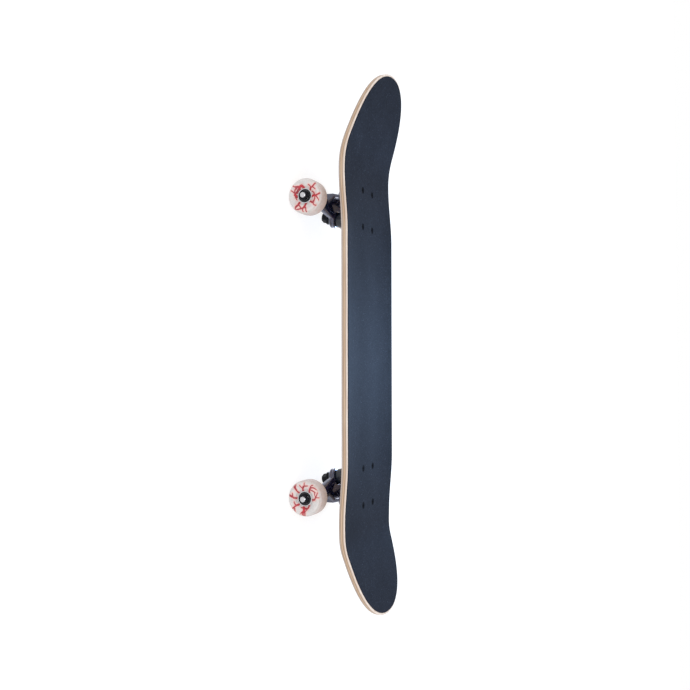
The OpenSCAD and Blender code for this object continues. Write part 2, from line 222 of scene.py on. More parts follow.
def addRamp(tree, value, stops):
    # a value turned into colours, given as (position, hex)
    node = addNode(tree, "ShaderNodeValToRGB", {"Fac": value})
    ramp = node.color_ramp
    while len(ramp.elements) < len(stops):
        ramp.elements.new(1.0)
    for element, (place, code) in zip(ramp.elements, stops):
        element.position = place
        element.color = colour(code)
    return node.outputs[0]


def addMix(tree, factor, first, second, blend="MIX"):
    inputs = {"Factor": factor, 6: first, 7: second}
    return addNode(tree, "ShaderNodeMix", inputs, data_type="RGBA", blend_type=blend).outputs[2]


def feed(tree, shader, key, value):
    tree.links.new(value, shader.inputs[key])


def feedRange(tree, shader, key, value, low, high):
    # a value from 0 to 1, spread from low to high, into a socket of the shader
    inputs = {"Value": value, "To Min": low, "To Max": high}
    feed(tree, shader, key, addNode(tree, "ShaderNodeMapRange", inputs).outputs[0])


def feedBump(tree, shader, height, strength, distance, keys=("Normal",)):
    inputs = {"Height": height, "Strength": strength, "Distance": distance}
    bump = addNode(tree, "ShaderNodeBump", inputs).outputs[0]
    for key in keys:
        feed(tree, shader, key, bump)


# stage and camera

stageSet = dict(floorSize=60.0, floorColour="#969696", glow=0.76, world=1.0)
cameraSet = dict(
    ahead=-0.0288, away=1.2850, above=0.4554,    # from the middle of the wood's top face, metres
    down=20.91, swing=-1.37, roll=-0.07,         # degrees
    lens=47.69,
)
lights = [
    # name, place, size, power, colour
    ("keyLight", (-0.05, 0.9, 1.5), 0.7, 5, "#ffffff"),
    ("fillLight", (-1.6, 1.8, 0.8), 1.4, 3, "#ffffff"),
    ("frontLight", (-0.03, 1.7, 0.16), 0.35, 3, "#f2f5ff"),
    ("backLight", (-0.02, -0.75, 0.37), 0.3, 6, "#a8ceff"),
]


def makeFloor():
    s = stageSet["floorSize"] / 2
    floor = newObject("floor", [(-s, -s, 0), (s, -s, 0), (s, s, 0), (-s, s, 0)], [(0, 1, 2, 3)])
    # a milky sheet lit a little from below, as on a product table, which keeps shadows faint
    tone = colour(stageSet["floorColour"])
    mat, _, shader = newMaterial("litAcrylicSheet", Base_Color=tone, Roughness=0.9)
    shader.inputs["Emission Color"].default_value = (1, 1, 1, 1)
    shader.inputs["Emission Strength"].default_value = stageSet["glow"]
    floor.data.materials.append(mat)


def makeLights():
    world = bpy.data.worlds.new("studio")
    world.use_nodes = True
    world.node_tree.nodes["Background"].inputs["Color"].default_value = (1, 1, 1, 1)
    world.node_tree.nodes["Background"].inputs["Strength"].default_value = stageSet["world"]
    bpy.context.scene.world = world
    for name, place, size, power, tint in lights:
        light = bpy.data.lights.new(name, "AREA")
        light.shape = "DISK"
        light.size = size
        light.energy = power
        light.color = colour(tint)[:3]
        obj = bpy.data.objects.new(name, light)
        obj.location = place
        obj.rotation_euler = (-Vector(place)).to_track_quat("-Z", "Y").to_euler()
        obj.visible_camera = False
        bpy.context.scene.collection.objects.link(obj)


def makeCamera():
    # the board's nose points up in the view and its top face to the right
    down, swing, roll = (math.radians(cameraSet[k]) for k in ("down", "swing", "roll"))
    back = Vector((0, math.cos(down), math.sin(down)))
    right = Vector((0, -math.sin(down), math.cos(down)))
    up = Vector((1, 0, 0))
    back, up = math.cos(swing) * back + math.sin(swing) * up, math.cos(swing) * up - math.sin(swing) * back
    right, up = math.cos(roll) * right + math.sin(roll) * up, math.cos(roll) * up - math.sin(roll) * right
    data = bpy.data.cameras.new("camera")
    data.lens = cameraSet["lens"]
    data.sensor_width = 36
    obj = bpy.data.objects.new("camera", data)
    turn = Matrix((right, up, back)).transposed().to_4x4()
    place = Vector((midX + cameraSet["ahead"], cameraSet["away"], woodZ + cameraSet["above"]))
    obj.matrix_world = Matrix.Translation(place) @ turn
    bpy.context.scene.collection.objects.link(obj)
    bpy.context.scene.camera = obj


# deck

deckSet = dict(
    gripT=0.9 * mm, gripInset=(0.9 * mm, 3.4 * mm),
    shoulder=90 * mm, nosePower=5.8, tailPower=6.3, endRound=0.47,
    flatHalf=28 * mm, railLift=6.1 * mm, endLift=1.3 * mm, fadeFrom=165 * mm, fadeTo=252 * mm,
    noseBend=255 * mm, noseR=135 * mm, noseAngle=19.3,
    tailBend=267 * mm, tailR=92 * mm, tailAngle=16.6,
    topRound=2.2 * mm, bottomRound=4.2 * mm,
    across=26, around=560,
)
boltSet = dict(
    # mm, heights from the deck's underside
    shankR=2.38, low=-15.18, high=8.4, threadTo=2, pitch=0.8, headR=4.8, headTop=10.75,
    holeR=2.6, sinkR=4.85, sinkDepth=2.6, punchR=4.95,
    nutFlats=9.5, nutHeight=5.3, nutCollar=1, nutBore=2.41,
)
woodZ = standZ - deckSet["gripT"]
deckT = woodZ - underZ
halfW = deckHigh.y


def kickHeight(d, bend, r, angle):
    # flat, then an arc of radius r from the bend, then straight at the angle
    a = math.radians(angle)
    run = r * math.sin(a)
    onArc = r - np.sqrt(np.maximum(r * r - np.clip(d - bend, 0, run) ** 2, 0))
    return onArc + np.maximum(d - bend - run, 0) * math.tan(a)


def deckHeight(x, y):
    # height over the flat of the wood's top: the kick's height plus the concave,
    # which rises with the square of the distance past the flat strip
    s = deckSet
    kick = np.where(
        x > 0,
        kickHeight(x, s["noseBend"], s["noseR"], s["noseAngle"]),
        kickHeight(-x, s["tailBend"], s["tailR"], s["tailAngle"]),
    )
    t = np.clip((np.abs(x) - s["fadeFrom"]) / (s["fadeTo"] - s["fadeFrom"]), 0, 1)
    lift = s["railLift"] - (s["railLift"] - s["endLift"]) * t * t * (3 - 2 * t)
    return kick + lift * (np.maximum(np.abs(y) - s["flatHalf"], 0) / (halfW - s["flatHalf"])) ** 2


def deckOutline(count):
    # |x|^power + |y|^(1/round) = 1 past the shoulder, straight between; evenly spaced, with outward normals
    s = deckSet
    a = np.linspace(0, np.pi / 2, 4000)
    noseX = s["shoulder"] + (deckHigh.x - midX - s["shoulder"]) * np.sin(a) ** (2 / s["nosePower"])
    tailX = s["shoulder"] + (midX - deckLow.x - s["shoulder"]) * np.sin(a) ** (2 / s["tailPower"])
    y = halfW * np.cos(a) ** (2 * s["endRound"])
    y[-1] = 0
    side = np.array([np.r_[-tailX[::-1], noseX], np.r_[y[::-1], y]])
    length = np.r_[0, np.cumsum(np.hypot(*np.diff(side)))]
    even = np.linspace(0, length[-1], count // 2 + 1)
    half = np.array([np.interp(even, length, row) for row in side])
    loop = np.hstack([half, half[:, -2:0:-1] * [[1], [-1]]])
    along = np.roll(loop, -1, 1) - np.roll(loop, 1, 1)
    normal = np.array([-along[1], along[0]]) / np.hypot(*along)
    return loop, normal


def layerRows(loop, normal, rim, low, high):
    # rings from the spine out to the rim, the rim's own (inset, depth) rows, and rings back to the spine;
    # depth is 0 at the top face and 1 at the bottom one
    across = np.linspace(0, 1, deckSet["across"])[:, None, None]
    endRoom = 0.9 * halfW
    spineX = np.clip(loop[0], deckLow.x - midX + endRoom, deckHigh.x - midX - endRoom)
    spine = np.array([spineX, 0 * loop[1]])
    inset, depth = np.array(rim).T
    edge = loop[None] - normal[None] * inset[:, None, None]
    top = spine + (edge[0] - spine) * across[:-1]
    bottom = spine + (edge[-1] - spine) * across[-2::-1]
    flat = np.concatenate([top, edge, bottom])
    depths = np.r_[np.zeros(len(top)), depth, np.ones(len(bottom))][:, None] + 0 * loop[0]
    z = deckHeight(flat[:, 0], flat[:, 1]) + high + (low - high) * depths
    points = np.stack([flat[:, 0] + midX, flat[:, 1], z + woodZ], -1)
    return points, depths


def boltPlaces():
    # the eight mounting bolts, from the boxes of their nodes
    places = []
    headR = boltSet["headR"] * mm
    for end in ends:
        low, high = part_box(f"{end}_mount_bolts")
        places += [(x, y) for x in (low.x + headR, high.x - headR) for y in (low.y + headR, high.y - headR)]
    return places


def punches(profile):
    # a (radius, height) profile turned at each bolt's place
    tools = [turned("punch", profile, Matrix.Translation((x, y, 0)), 40) for x, y in boltPlaces()]
    return joined("punches", tools)


def veneerMaterial():
    # rock maple veneers pressed and glued, edges sanded and lacquered: pale bands with fine
    # lengthwise streaks at the edge, an even satin face with brown flecks underneath
    mat, tree, shader = newMaterial("lacqueredMapleVeneers", Roughness=0.42, IOR=1.5, Coat_Weight=0.25)
    shader.inputs["Coat Roughness"].default_value = 0.25
    depth = addNode(tree, "ShaderNodeAttribute", attribute_name="plyDepth").outputs["Fac"]
    tones = ["#e8dfd8", "#c9bcb0", "#a08b74", "#c2a98f", "#a3917e", "#b3a79d", "#b4a8a2"]
    stops = []
    for i, tone in enumerate(tones):    # a band for each of seven plies, with a thin glue line between
        stops += [(i / 7 + 0.012, tone), ((i + 1) / 7 - 0.012, tone)]
    stops.append((1.0, "#dbc7ac"))    # the bottom face, clear lacquered
    plies = addRamp(tree, depth, stops)
    x, y, _ = addNode(tree, "ShaderNodeSeparateXYZ", {"Vector": objectPoint(tree)}).outputs
    # depth takes the place of height, so that the streaks follow the kicks
    laid = addNode(tree, "ShaderNodeCombineXYZ", {"X": x, "Y": y, "Z": depth}).outputs[0]
    stretch = addNode(tree, "ShaderNodeMapping", {"Vector": laid, "Scale": (9, 160, 4.3)}).outputs[0]
    streak = addNoise(tree, stretch, 2.2, 6)
    grain = addRamp(tree, streak, [(0.32, "#c29c7e"), (0.66, "#fdfaf7")])
    feed(tree, shader, "Base Color", addMix(tree, 0.55, plies, grain, "MULTIPLY"))
    feedBump(tree, shader, streak, 0.12, 0.2 * mm)
    return mat


def gritMaterial():
    # silicon carbide grit glued on cloth: near black with a cold blue sheen painted into its colour, coarse, with
    # painted glints on the brightest grains.
    # The real grit is 0.2 mm across; it is drawn at 0.9 mm, so that it shows
    mat, tree, shader = newMaterial("siliconCarbideGrit", Roughness=0.7, IOR=1.12)
    at = objectPoint(tree)
    cells = addNode(tree, "ShaderNodeTexVoronoi", {"Vector": at, "Scale": 1 / (0.9 * mm)})
    # the dark stops carry the painted blue sheen; the top stop is a painted glint, lifting the few brightest
    # grains to pale blue-grey
    gritTonesAndGlints = [(0.0, "#141720"), (0.5, "#1c212b"), (0.88, "#252a36"), (0.96, "#454e5e")]
    tones = addRamp(tree, cells.outputs["Color"], gritTonesAndGlints)
    shade = addRamp(tree, addNoise(tree, at, 22, 4), [(0.3, "#c4c6cc"), (0.7, "#ffffff")])
    feed(tree, shader, "Base Color", addMix(tree, 0.6, tones, shade, "MULTIPLY"))
    feedBump(tree, shader, cells.outputs["Distance"], 0.6, 0.25 * mm)
    return mat


def makeDeck():
    s = deckSet
    loop, normal = deckOutline(s["around"])
    topR, botR = s["topRound"], s["bottomRound"]
    a = np.radians(np.linspace(0, 90, 6))
    topRim = list(zip(topR * (1 - np.sin(a)), topR * (1 - np.cos(a)) / deckT))
    a = np.radians(np.linspace(0, 90, 10))
    bottomRim = list(zip(botR * (1 - np.cos(a)), 1 - botR * (1 - np.sin(a)) / deckT))
    points, depths = layerRows(loop, normal, topRim + bottomRim, -deckT, 0)
    deck = closeUp(gridObject("deckVeneers", points, wrapCols=True, plyDepth=depths))
    hole, head, sunk, punch = (boltSet[k] * mm for k in ("holeR", "sinkR", "sinkDepth", "punchR"))
    reach = 5 * mm
    cutAway(deck, punches([
        (0, underZ - reach), (hole, underZ - reach), (hole, woodZ - sunk), (head, woodZ),
        (head, woodZ + reach), (0, woodZ + reach),
    ]))
    smoothShade(deck)
    deck.data.materials.clear()
    deck.data.materials.append(veneerMaterial())
    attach(deck, "deck")
    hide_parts("deck")

    # the sheet ends just inside the sides, and further in round the tips
    beside, beyond = s["gripInset"]
    inset = beside + (beyond - beside) * np.abs(normal[0]) ** 1.5
    rim = [(0.25 * mm, 0), (0, 0.3), (0, 1)]
    points, depths = layerRows(loop - normal * inset, normal, rim, 0.02 * mm, s["gripT"])
    grip = closeUp(gridObject("gripSheet", points, wrapCols=True))
    low, high = woodZ - reach, woodZ + reach
    cutAway(grip, punches([(0, low), (punch, low), (punch, high), (0, high)]))
    smoothShade(grip)
    grip.data.materials.clear()
    grip.data.materials.append(gritMaterial())
    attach(grip, "deck")
    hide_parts("grip_tape")
    print("deck and grip made:", len(deck.data.polygons), len(grip.data.polygons))


# turned, threaded and hexagonal parts, drawn in millimetres along their own Z

def placed(source, name, matrix):
    # a copy of a part, carried to its place in the board
    mesh = source.data.copy()
    mesh.transform(matrix)
    obj = bpy.data.objects.new(name, mesh)
    bpy.context.scene.collection.objects.link(obj)
    return obj


def finishPiece(obj, material, body, nodes, sharpFrom=35):
    smoothShade(obj, sharpFrom)
    obj.data.materials.clear()
    obj.data.materials.append(material)
    if isinstance(body, str):
        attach(obj, body)
    else:
        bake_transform(obj)
    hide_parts(*nodes)
    return obj


def threadedRod(name, radius, low, high, threads, pitch, chamfer=0.5, steps=48):
    # the surface dips by a triangle wave of height / pitch - turn / full circle wherever it is threaded
    heights = [np.array([low, low + chamfer, high - chamfer, high])]
    for start, stop in threads:
        heights.append(np.arange(start, stop, pitch / 6))
    h = np.unique(np.concatenate(heights))[:, None]
    turn = np.linspace(0, 2 * np.pi, steps, endpoint=False)[None]
    wave = np.abs(2 * np.mod(h / pitch - turn / (2 * np.pi), 1) - 1)
    onThread = sum(((h > start) & (h < stop)) * 1.0 for start, stop in threads)
    r = radius - 0.55 * pitch * wave * onThread
    r = np.minimum(r, radius - chamfer + np.minimum(h - low, high - h))
    r = np.vstack([0 * turn, r, 0 * turn])
    h = np.vstack([h[:1], h, h[-1:]])
    grid = np.stack([r * np.cos(turn), r * np.sin(turn), h + 0 * turn], -1)
    return closeUp(gridObject(name, grid, wrapCols=True))


def lockNut(name, flats, height, collar, bore, steps=16):
    # across its flats, a hexagon is apothem / cos(angle from the middle of a flat) away from the
    # middle; a cone cut at each end rounds its corners, and a round collar holds the nylon ring
    turn = np.linspace(0, 2 * np.pi, 6 * steps, endpoint=False)[None]
    fromFlat = np.mod(turn, np.pi / 3) - np.pi / 6
    apothem = flats / 2
    hexagon = apothem / np.cos(fromFlat)
    rim = np.r_[0, 0.12, 0.3, 0.55, 0.8, 1.1]
    h = np.unique(np.r_[rim, height - rim])[:, None]
    cone = 0.965 * apothem + 1.9 * np.minimum(h, height - h)
    sides = np.minimum(hexagon, cone)
    collarR = 0.9 * apothem
    upper = np.array([
        (collarR, height), (collarR, height + collar - 0.5), (collarR - 0.15, height + collar - 0.15),
        (collarR - 0.5, height + collar), (bore + 0.9, height + collar),
        (bore + 0.6, height + collar - 0.3), (bore + 0.5, height + 0.2), (bore, height - 0.3),
    ])
    r = np.vstack([bore + 0.4 + 0 * turn, sides, upper[:, :1] + 0 * turn, bore + 0 * turn])
    h = np.vstack([[[0]], h, upper[:, 1:], [[0.4]]]) + 0 * turn
    grid = np.stack([r * np.cos(turn), r * np.sin(turn), h], -1)
    return closeUp(gridObject(name, grid, wrapRows=True, wrapCols=True))


def ringOf(name, outer, inner, low, high, soft=0.15, steps=72):
    # a plain ring with its four rims broken
    profile = [
        (inner + soft, low), (outer - soft, low), (outer, low + soft), (outer, high - soft),
        (outer - soft, high), (inner + soft, high), (inner, high - soft), (inner, low + soft),
    ]
    return turned(name, profile, Matrix(), steps, closed=True)


def hullAround(name, pointSets):
    # the tight skin around some rings of points
    obj = newObject(name, np.vstack(pointSets), np.zeros((0, 3), int))
    work = bmesh.new()
    work.from_mesh(obj.data)
    result = bmesh.ops.convex_hull(work, input=work.verts)
    inside = result["geom_interior"] + result["geom_unused"]
    loose = {v for v in inside if isinstance(v, bmesh.types.BMVert)}
    bmesh.ops.delete(work, geom=list(loose), context="VERTS")
    bmesh.ops.recalc_face_normals(work, faces=work.faces)
    work.to_mesh(obj.data)
    work.free()
    return obj


def rims(matrix, radius, low, high, count=40):
    # the two end circles of a cylinder
    turn = np.linspace(0, 2 * np.pi, count, endpoint=False)
    ring = np.stack([radius * np.cos(turn), radius * np.sin(turn), 0 * turn], -1)
    return put(np.vstack([ring + [0, 0, low], ring + [0, 0, high]]), matrix)


def drum(matrix, radius, low, high, steps=64):
    # a solid cylinder, mostly a cutting tool
    return turned("drum", [(0, low), (radius, low), (radius, high), (0, high)], matrix, steps)


def block(matrix, low, high):
    corners = [(x, y, z) for x in (low[0], high[0]) for y in (low[1], high[1]) for z in (low[2], high[2])]
    return hullAround("block", [put(np.array(corners, float), matrix)])


# wheels

wheelSet = dict(
    # (radius, distance from the middle of the wheel) of one half of the urethane's skin, in mm
    skin=[
        (11, 5), (11, 12.1), (11.2, 12.35), (12.4, 12.5), (13.7, 13.9), (18.4, 14.9), (21, 15.5),
        (22.9, 15.1), (24.1, 12.6), (25.15, 11.1), (25.5, 9.8), (25.5, 0),
    ],
    boreR=8.6, spacerHalf=5, spacing=0.42, around=380,
)
veinSet = dict(
    roots=8, stepLength=1.3, bend=9,    # main veins on each side, mm, degrees
    longest=21, shortest=10,            # steps
    thick=(0.7, 2.0), thin=0.5,         # half widths at the root and at the tip, mm
    forkTurn=55,
)


def growVeins(seed):
    # each vein walks outwards from the hub, its heading drifting in long curves, and forks on the way
    s = veinSet
    rng = np.random.default_rng(seed)
    starts, stops, widths = [], [], []

    def grow(place, heading, thick, steps):
        drift = rng.uniform(-1, 1) * math.radians(s["bend"]) + rng.normal(0, math.radians(7), steps)
        turns = np.cumsum(drift)
        if steps > 8:    # a kink part of the way along
            turns[int(rng.integers(3, 6)):] += rng.choice([-1, 1]) * rng.uniform(0.5, 1.1)
        path = np.vstack([place, place + np.cumsum(
            s["stepLength"] * np.stack([np.cos(heading + turns), np.sin(heading + turns)], -1), 0)])
        half = np.linspace(thick, s["thin"], steps + 1)
        starts.append(path[:-1])
        stops.append(path[1:])
        widths.append(np.stack([half[:-1], half[1:]], -1))
        return path, half

    for i in range(s["roots"]):
        angle = 2 * math.pi * (i + rng.uniform(-0.3, 0.3)) / s["roots"]
        root = rng.uniform(11.2, 13) * np.array([math.cos(angle), math.sin(angle)])
        thick = rng.uniform(*s["thick"])
        heading = angle + rng.uniform(-0.6, 0.6)
        path, half = grow(root, heading, thick, int(rng.integers(s["shortest"], s["longest"])))
        away = math.radians(s["forkTurn"]) * rng.choice([-1, 1])
        for fork in rng.integers(2, s["shortest"] - 2, 2):
            along = path[fork + 1] - path[fork]
            heading = math.atan2(along[1], along[0]) + away
            grow(path[fork], heading, 0.75 * half[fork], int(rng.integers(4, 9)))
            away = -away
    return np.vstack(starts), np.vstack(stops), np.vstack(widths)


def gapToVeins(points, veins):
    # distance from each point to the edge of the nearest vein, negative inside it, in mm
    gap = np.full(len(points), 9.0)
    for start, stop, (w0, w1) in zip(*veins):
        run = stop - start
        t = np.clip((points - start) @ run / (run @ run), 0, 1)
        away = np.hypot(*(points - start - t[:, None] * run).T) - (w0 + (w1 - w0) * t)
        gap = np.minimum(gap, away)
    return gap


def wheelSkin():
    # one half of the skin with its corners cut round, evenly spaced
    half = np.array(wheelSet["skin"], float)
    seat, face = half[:2], half[1:]
    for _ in range(3):
        cut = np.stack([0.75 * face[:-1] + 0.25 * face[1:], 0.25 * face[:-1] + 0.75 * face[1:]], 1)
        face = np.vstack([face[:1], cut.reshape(-1, 2), face[-1:]])
    length = np.r_[0, np.cumsum(np.hypot(*np.diff(face, axis=0).T))]
    even = np.linspace(0, length[-1], int(length[-1] / wheelSet["spacing"]))
    face = np.stack([np.interp(even, length, face[:, 0]), np.interp(even, length, face[:, 1])], -1)
    return np.vstack([seat[:1], face]), np.r_[0, even]


def wheelMaterial():
    # cast urethane, off-white with a pinkish cast, slightly translucent, with a printed branching
    # pattern in red: dark rims along each branch and a pink bleed around it; the tread is scuffed grey
    mat, tree, shader = newMaterial("castWheelUrethane", IOR=1.49, Subsurface_Weight=0.06)
    shader.inputs["Subsurface Radius"].default_value = (1.2 * mm, 0.8 * mm, 0.7 * mm)
    shader.inputs["Subsurface Scale"].default_value = 1.0
    at = objectPoint(tree)
    gap = addNode(tree, "ShaderNodeAttribute", attribute_name="veinGap").outputs["Fac"]
    wobble = addNoise(tree, at, 420, 3)
    frayed = addNode(tree, "ShaderNodeMath", {0: wobble, 1: 0.7, 2: gap}, operation="MULTIPLY_ADD").outputs[0]
    reach = {"Value": frayed, "From Min": -1.2, "From Max": 3.2}    # mm, from inside a branch to clear of it
    ink = addRamp(tree, addNode(tree, "ShaderNodeMapRange", reach).outputs[0], [
        (0.0, "#cc2430"), (0.14, "#c4232f"), (0.24, "#8f2531"), (0.34, "#96303a"), (0.39, "#d2908e"),
        (0.52, "#d9b3ac"), (0.85, "#c9c5c3"),
    ])
    cloud = addNoise(tree, at, 95, 5, Roughness=0.6)
    tint = addRamp(tree, cloud, [(0.34, "#f0dcd9"), (0.5, "#ffffff"), (0.68, "#e9e7e9")])
    printed = addMix(tree, 0.8, ink, tint, "MULTIPLY")
    tread = addNode(tree, "ShaderNodeAttribute", attribute_name="tread").outputs["Fac"]
    scuffs = addNoise(tree, at, 260, 8, Roughness=0.7)
    scuffed = addNode(tree, "ShaderNodeMath", {0: scuffs, 1: tread}, operation="MULTIPLY").outputs[0]
    feed(tree, shader, "Base Color", addMix(tree, scuffed, printed, colour("#cdbcbd")))
    feedRange(tree, shader, "Roughness", scuffed, 0.38, 0.75)
    feedBump(tree, shader, scuffs, 0.15, 0.15 * mm)
    return mat


def wheelObject(name, seed, matrix):
    half, along = wheelSkin()
    turn = np.linspace(0, 2 * np.pi, wheelSet["around"], endpoint=False)
    developed = (11 + along)[:, None, None] * np.stack([np.cos(turn), np.sin(turn)], -1)
    gaps = [
        gapToVeins(developed.reshape(-1, 2), growVeins(seed + side)).reshape(developed.shape[:2])
        for side in (0, 1)
    ]
    tread = np.clip((half[:, 0] - 24.2) / 1.2, 0, 1)
    gaps = [np.minimum(g + 6 * tread[:, None], 9) for g in gaps]
    b, s = wheelSet["boreR"], wheelSet["spacerHalf"]
    rows = np.vstack([half, half[-2::-1] * [1, -1], [(b, -s), (b, s)]])
    bare = np.full((2, len(turn)), 9.0)
    gap = np.vstack([gaps[0], gaps[1][-2::-1], bare])
    tread = np.r_[tread, tread[-2::-1], 0, 0][:, None] + 0 * turn
    r, h = rows[:, :1], rows[:, 1:]
    grid = np.stack([r * np.cos(turn), r * np.sin(turn), h + 0 * turn], -1)
    values = dict(veinGap=gap, tread=tread)
    return closeUp(gridObject(name, put(grid, matrix), wrapRows=True, wrapCols=True, **values))


bearingSet = dict(
    width=7, at=8.5, outerR=10.98, innerR=3.99, raceOut=9.1, raceIn=5.9,
    shieldR=9.62, shieldT=0.4, pitchR=7.5, ballR=1.985, balls=7, grooveR=2.03,
)
axleSet = dict(
    # mm from the middle of the axle, and from the middle of a wheel
    axleR=3.97, halfLength=103.5, threadFrom=94, pitch=1.06, boreR=4.07,
    spacerR=5.1, speedRingR=5.8, ringAt=12.5,
    nutFlats=12.7, nutHeight=5.4, nutCollar=1.4, nutAt=13,
    # how far round each nut happened to stop, radians
    nutTurns={
        ("front", "left"): 0.3, ("front", "right"): 0.8,
        ("rear", "left"): 0.55, ("rear", "right"): 0.1,
    },
)


def bearingParts():
    # one bearing's rings, seals, balls and cage about its own middle, in mm
    s = bearingSet
    w = s["width"] / 2
    groove = np.array(arc(s["pitchR"], 0, s["grooveR"], 0, 360, 49))
    outGroove = groove[(groove[:, 0] > s["raceOut"])]
    outGroove = outGroove[np.argsort(-outGroove[:, 1])]
    inGroove = groove[:-1][(groove[:-1, 0] < s["raceIn"])]
    inGroove = inGroove[np.argsort(inGroove[:, 1])]
    sealR, outerR, innerR = s["shieldR"], s["outerR"], s["innerR"]
    raceOut, raceIn = s["raceOut"], s["raceIn"]
    seat, step = sealR + 0.02, w - 0.55
    outerRing = turned("outerRing", [
        (raceOut, -step), (seat, -step), (seat, -w + 0.1), (seat + 0.1, -w), (outerR - 0.35, -w),
        (outerR, -w + 0.35), (outerR, w - 0.35), (outerR - 0.35, w), (seat + 0.1, w), (seat, w - 0.1),
        (seat, step), (raceOut, step), *map(tuple, outGroove),
    ], Matrix(), 128, closed=True)
    innerRing = turned("innerRing", [
        (innerR, -w + 0.3), (innerR + 0.3, -w), (raceIn - 0.15, -w), (raceIn, -w + 0.15),
        *map(tuple, inGroove),
        (raceIn, w - 0.15), (raceIn - 0.15, w), (innerR + 0.3, w), (innerR, w - 0.3),
    ], Matrix(), 96, closed=True)
    seals = []
    for side in (1, -1):    # a moulded seal: a lip at each rim and a shallow step between
        face, lip = w - 0.1, raceIn + 0.3
        back, low = face - s["shieldT"], face - 0.14
        profile = [
            (lip, back), (sealR, back), (sealR, face - 0.08), (sealR - 0.08, face),
            (9.0, face), (8.85, low), (7.0, low), (6.85, face), (6.4, face), (lip, face - 0.1),
        ]
        seals.append(turned("seal", [(r, side * h) for r, h in profile], Matrix(), 128, closed=True))
    balls = []
    for i in range(s["balls"]):
        a = 2 * math.pi * i / s["balls"]
        place = Matrix.Translation((s["pitchR"] * math.cos(a), s["pitchR"] * math.sin(a), 0))
        balls.append(turned("ball", arc(0, 0, s["ballR"], -90, 90, 17), place, 28))
    return outerRing, innerRing, joined("seals", seals), joined("balls", balls)


def makeWheels(materials):
    wheelMat = wheelMaterial()
    outerRing, innerRing, seals, balls = bearingParts()
    a = axleSet
    tip, thread, half = a["halfLength"], a["threadFrom"], wheelSet["spacerHalf"]
    spacer = ringOf("spacer", a["spacerR"], a["boreR"], -half, half)
    speedRing = ringOf("speedRing", a["speedRingR"], a["boreR"], -0.5, 0.5, 0.1)
    nut = lockNut("nut", a["nutFlats"], a["nutHeight"], a["nutCollar"], 4.0)
    threads = [(0.4 - tip, -thread), (thread, tip - 0.4)]
    axle = threadedRod("axle", a["axleR"], -tip, tip, threads, a["pitch"], 0.6, 64)
    scale = Matrix.Scale(mm, 4)
    intoAxle = Matrix.Rotation(math.radians(-90), 4, "X")
    flip = Matrix.Rotation(math.pi, 4, "X")
    seed = 40
    for end in ends:
        hanger = f"{end}_hanger"
        onAxle = {"AxleNuts": [], "SpeedRings": [], "BearingSpacers": [], "BearingInnerRings": []}
        for side in sides:
            wheel = f"{end}_{side}_wheel"
            hub = Vector(joints[f"{end}_{side}_spin"]["pos_m"])
            here = Matrix.Translation(hub) @ intoAxle @ scale
            if side == "right":
                here = here @ flip
            seed += 2
            name = end + side.capitalize()
            tyre = wheelObject(f"{name}Wheel", seed, here)
            finishPiece(tyre, wheelMat, wheel, [wheel])
            bearings = [here @ Matrix.Translation((0, 0, sign * bearingSet["at"])) for sign in (-1, 1)]
            for part, label, node, body, matName in [
                (outerRing, "BearingOuterRings", "bearing_outer_rings", wheel, "bearing_steel"),
                (seals, "BearingSeals", "bearing_shields", wheel, "shield_rubber"),
                (balls, "BearingBalls", "bearing_balls", f"{end}_{side}_balls", "bearing_steel"),
            ]:
                both = joined(name + label, [placed(part, label, m) for m in bearings])
                finishPiece(both, materials[matName], body, [f"{end}_{side}_{node}"])
            cages = frame["nodes"][f"{end}_{side}_bearing_cages"]
            cages.data.materials.clear()
            cages.data.materials.append(materials["cage_nylon"])
            onAxle["BearingInnerRings"] += [placed(innerRing, "ring", m) for m in bearings]
            onAxle["BearingSpacers"].append(placed(spacer, "spacer", here))
            for h in (-a["ringAt"], a["ringAt"]):
                onAxle["SpeedRings"].append(placed(speedRing, "ring", here @ Matrix.Translation((0, 0, h))))
            nutTurn = Matrix.Rotation(a["nutTurns"][end, side], 4, "Z")
            nutHere = here @ Matrix.Translation((0, 0, a["nutAt"])) @ nutTurn
            onAxle["AxleNuts"].append(placed(nut, "nut", nutHere))
        for label, node, matName in [
            ("AxleNuts", "axle_nuts", "black_steel"), ("SpeedRings", "speed_rings", "bright_steel"),
            ("BearingSpacers", "bearing_spacers", "spacer_aluminium"),
            ("BearingInnerRings", "bearing_inner_rings", "bearing_steel"),
        ]:
            group = joined(end + label, onAxle[label])
            finishPiece(group, materials[matName], hanger, [f"{end}_{node}"])
        hubs = [Vector(joints[f"{end}_{side}_spin"]["pos_m"]) for side in sides]
        middle = (hubs[0] + hubs[1]) / 2
        rod = placed(axle, f"{end}Axle", Matrix.Translation(middle) @ intoAxle @ scale)
        finishPiece(rod, materials["bright_steel"], hanger, [f"{end}_axle"])
    for part in (outerRing, innerRing, seals, balls, spacer, speedRing, nut, axle):
        bpy.data.objects.remove(part)
    print("wheels, bearings and axles made")


# metals, paint and rubbers

def drawnMetal(name, base, rough, along, tone=0.25):
    # turned or ground metal: fine streaks round the work, which change the polish a little
    mat, tree, shader = newMaterial(name, Metallic=1.0)
    stretch = addNode(tree, "ShaderNodeMapping", {"Vector": objectPoint(tree), "Scale": along}).outputs[0]
    streak = addNoise(tree, stretch, 1.0, 4)
    shade = addRamp(tree, streak, [(0.3, "#b5b5b8"), (0.7, "#ffffff")])
    feed(tree, shader, "Base Color", addMix(tree, tone, colour(base), shade, "MULTIPLY"))
    feedRange(tree, shader, "Roughness", streak, 0.6 * rough, 1.4 * rough)
    feedBump(tree, shader, streak, 0.12, 0.05 * mm)
    return mat


